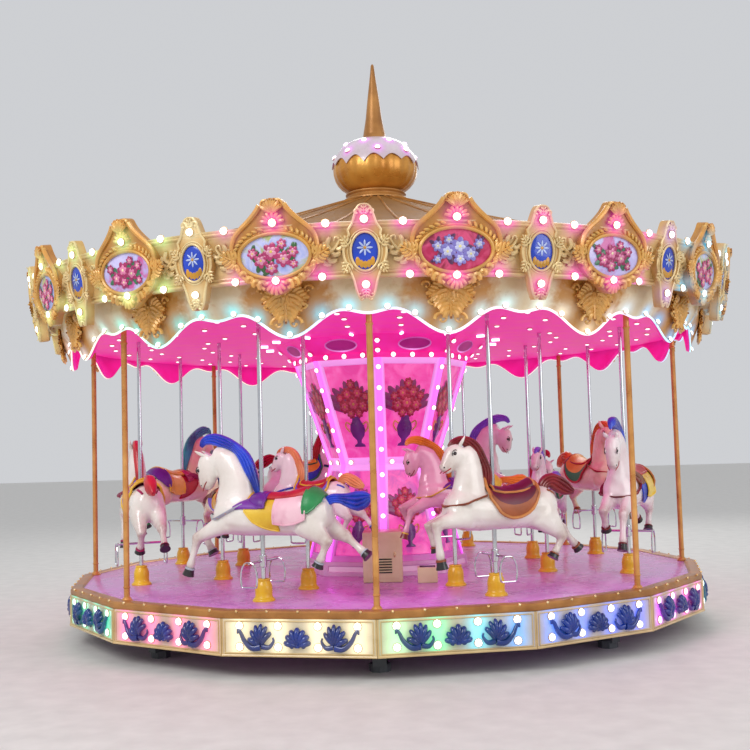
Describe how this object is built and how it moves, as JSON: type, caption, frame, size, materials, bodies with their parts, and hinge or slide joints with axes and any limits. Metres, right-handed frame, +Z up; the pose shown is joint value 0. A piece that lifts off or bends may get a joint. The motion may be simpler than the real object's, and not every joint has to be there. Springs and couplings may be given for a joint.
{
  "type": "fairground carousel",
  "caption": "Fairground carousel: turntable with galloping horses on rods, lit skirt, panelled centre column, posts, ornate crown, cone roof and finial.",
  "frame": {"origin": "on the ground under the centre of the turntable", "axes": "+Z up along the turntable's axis, -Y towards the front, where the control cabinet stands"},
  "size_m": [5.7702, 5.7702, 4.8],
  "materials": {
    "frame_steel": "dark grey paint",
    "ring_steel": "machined",
    "deck_board": "glossy lilac facing on ply",
    "rim_bronze": "gold-brown paint",
    "skirt_enamel": "gloss white",
    "post_gilt": "gold paint",
    "column_cream": "gloss cream",
    "column_pink": "gloss pink",
    "cornice_magenta": "gloss magenta",
    "ceiling_magenta": "satin magenta",
    "crown_cream": "gloss cream with gilding",
    "roof_bronze": "gold-brown gloss",
    "finial_gilt": "gilded, with a white cap",
    "horse_shell": "gloss painted fibreglass",
    "rod_chrome": "polished"
  },
  "bodies": {
    "base": {"base_frame": "frame_steel", "slewing_ring": "ring_steel"},
    "turntable": {"turntable_frame": "frame_steel", "deck": "deck_board", "deck_rim": "rim_bronze", "skirt": "skirt_enamel", "post_1": "post_gilt", "post_2": "post_gilt", "post_3": "post_gilt", "post_4": "post_gilt", "post_5": "post_gilt", "post_6": "post_gilt", "post_7": "post_gilt", "post_8": "post_gilt", "column_plinth": "column_cream", "column_lower": "column_pink", "column_upper": "column_pink", "column_cornice": "cornice_magenta", "control_cabinet": "column_cream", "mounting_step": "column_cream", "ceiling": "ceiling_magenta", "canopy_frame": "frame_steel", "crown": "crown_cream", "valance": "crown_cream", "roof": "roof_bronze", "finial_collar": "roof_bronze", "finial_ball": "finial_gilt", "finial_spire": "roof_bronze"},
    "galloper_01": {"horse_01": "horse_shell", "rod_01": "rod_chrome"},
    "galloper_02": {"horse_02": "horse_shell", "rod_02": "rod_chrome"},
    "galloper_03": {"horse_03": "horse_shell", "rod_03": "rod_chrome"},
    "galloper_04": {"horse_04": "horse_shell", "rod_04": "rod_chrome"},
    "galloper_05": {"horse_05": "horse_shell", "rod_05": "rod_chrome"},
    "galloper_06": {"horse_06": "horse_shell", "rod_06": "rod_chrome"},
    "galloper_07": {"horse_07": "horse_shell", "rod_07": "rod_chrome"},
    "galloper_08": {"horse_08": "horse_shell", "rod_08": "rod_chrome"},
    "galloper_09": {"horse_09": "horse_shell", "rod_09": "rod_chrome"},
    "galloper_10": {"horse_10": "horse_shell", "rod_10": "rod_chrome"},
    "galloper_11": {"horse_11": "horse_shell", "rod_11": "rod_chrome"},
    "galloper_12": {"horse_12": "horse_shell", "rod_12": "rod_chrome"},
    "galloper_13": {"horse_13": "horse_shell", "rod_13": "rod_chrome"},
    "galloper_14": {"horse_14": "horse_shell", "rod_14": "rod_chrome"},
    "galloper_15": {"horse_15": "horse_shell", "rod_15": "rod_chrome"},
    "galloper_16": {"horse_16": "horse_shell", "rod_16": "rod_chrome"}
  },
  "joints": [
    {"name": "turntable_spin", "type": "hinge", "parent": "base", "child": "turntable", "pos_m": [0, 0, 0.25], "axis": [0, 0, 1], "continuous": true},
    {"name": "gallop_01", "type": "slide", "parent": "turntable", "child": "galloper_01", "axis": [0, 0, 1], "range_m": [-0.00761, 0.19239]},
    {"name": "gallop_02", "type": "slide", "parent": "turntable", "child": "galloper_02", "axis": [0, 0, 1], "range_m": [-0.06173, 0.13827]},
    {"name": "gallop_03", "type": "slide", "parent": "turntable", "child": "galloper_03", "axis": [0, 0, 1], "range_m": [-0.13827, 0.06173]},
    {"name": "gallop_04", "type": "slide", "parent": "turntable", "child": "galloper_04", "axis": [0, 0, 1], "range_m": [-0.19239, 0.00761]},
    {"name": "gallop_05", "type": "slide", "parent": "turntable", "child": "galloper_05", "axis": [0, 0, 1], "range_m": [-0.19239, 0.00761]},
    {"name": "gallop_06", "type": "slide", "parent": "turntable", "child": "galloper_06", "axis": [0, 0, 1], "range_m": [-0.13827, 0.06173]},
    {"name": "gallop_07", "type": "slide", "parent": "turntable", "child": "galloper_07", "axis": [0, 0, 1], "range_m": [-0.06173, 0.13827]},
    {"name": "gallop_08", "type": "slide", "parent": "turntable", "child": "galloper_08", "axis": [0, 0, 1], "range_m": [-0.00761, 0.19239]},
    {"name": "gallop_09", "type": "slide", "parent": "turntable", "child": "galloper_09", "axis": [0, 0, 1], "range_m": [-0.19239, 0.00761]},
    {"name": "gallop_10", "type": "slide", "parent": "turntable", "child": "galloper_10", "axis": [0, 0, 1], "range_m": [-0.13827, 0.06173]},
    {"name": "gallop_11", "type": "slide", "parent": "turntable", "child": "galloper_11", "axis": [0, 0, 1], "range_m": [-0.06173, 0.13827]},
    {"name": "gallop_12", "type": "slide", "parent": "turntable", "child": "galloper_12", "axis": [0, 0, 1], "range_m": [-0.00761, 0.19239]},
    {"name": "gallop_13", "type": "slide", "parent": "turntable", "child": "galloper_13", "axis": [0, 0, 1], "range_m": [-0.00761, 0.19239]},
    {"name": "gallop_14", "type": "slide", "parent": "turntable", "child": "galloper_14", "axis": [0, 0, 1], "range_m": [-0.06173, 0.13827]},
    {"name": "gallop_15", "type": "slide", "parent": "turntable", "child": "galloper_15", "axis": [0, 0, 1], "range_m": [-0.13827, 0.06173]},
    {"name": "gallop_16", "type": "slide", "parent": "turntable", "child": "galloper_16", "axis": [0, 0, 1], "range_m": [-0.19239, 0.00761]}
  ]
}
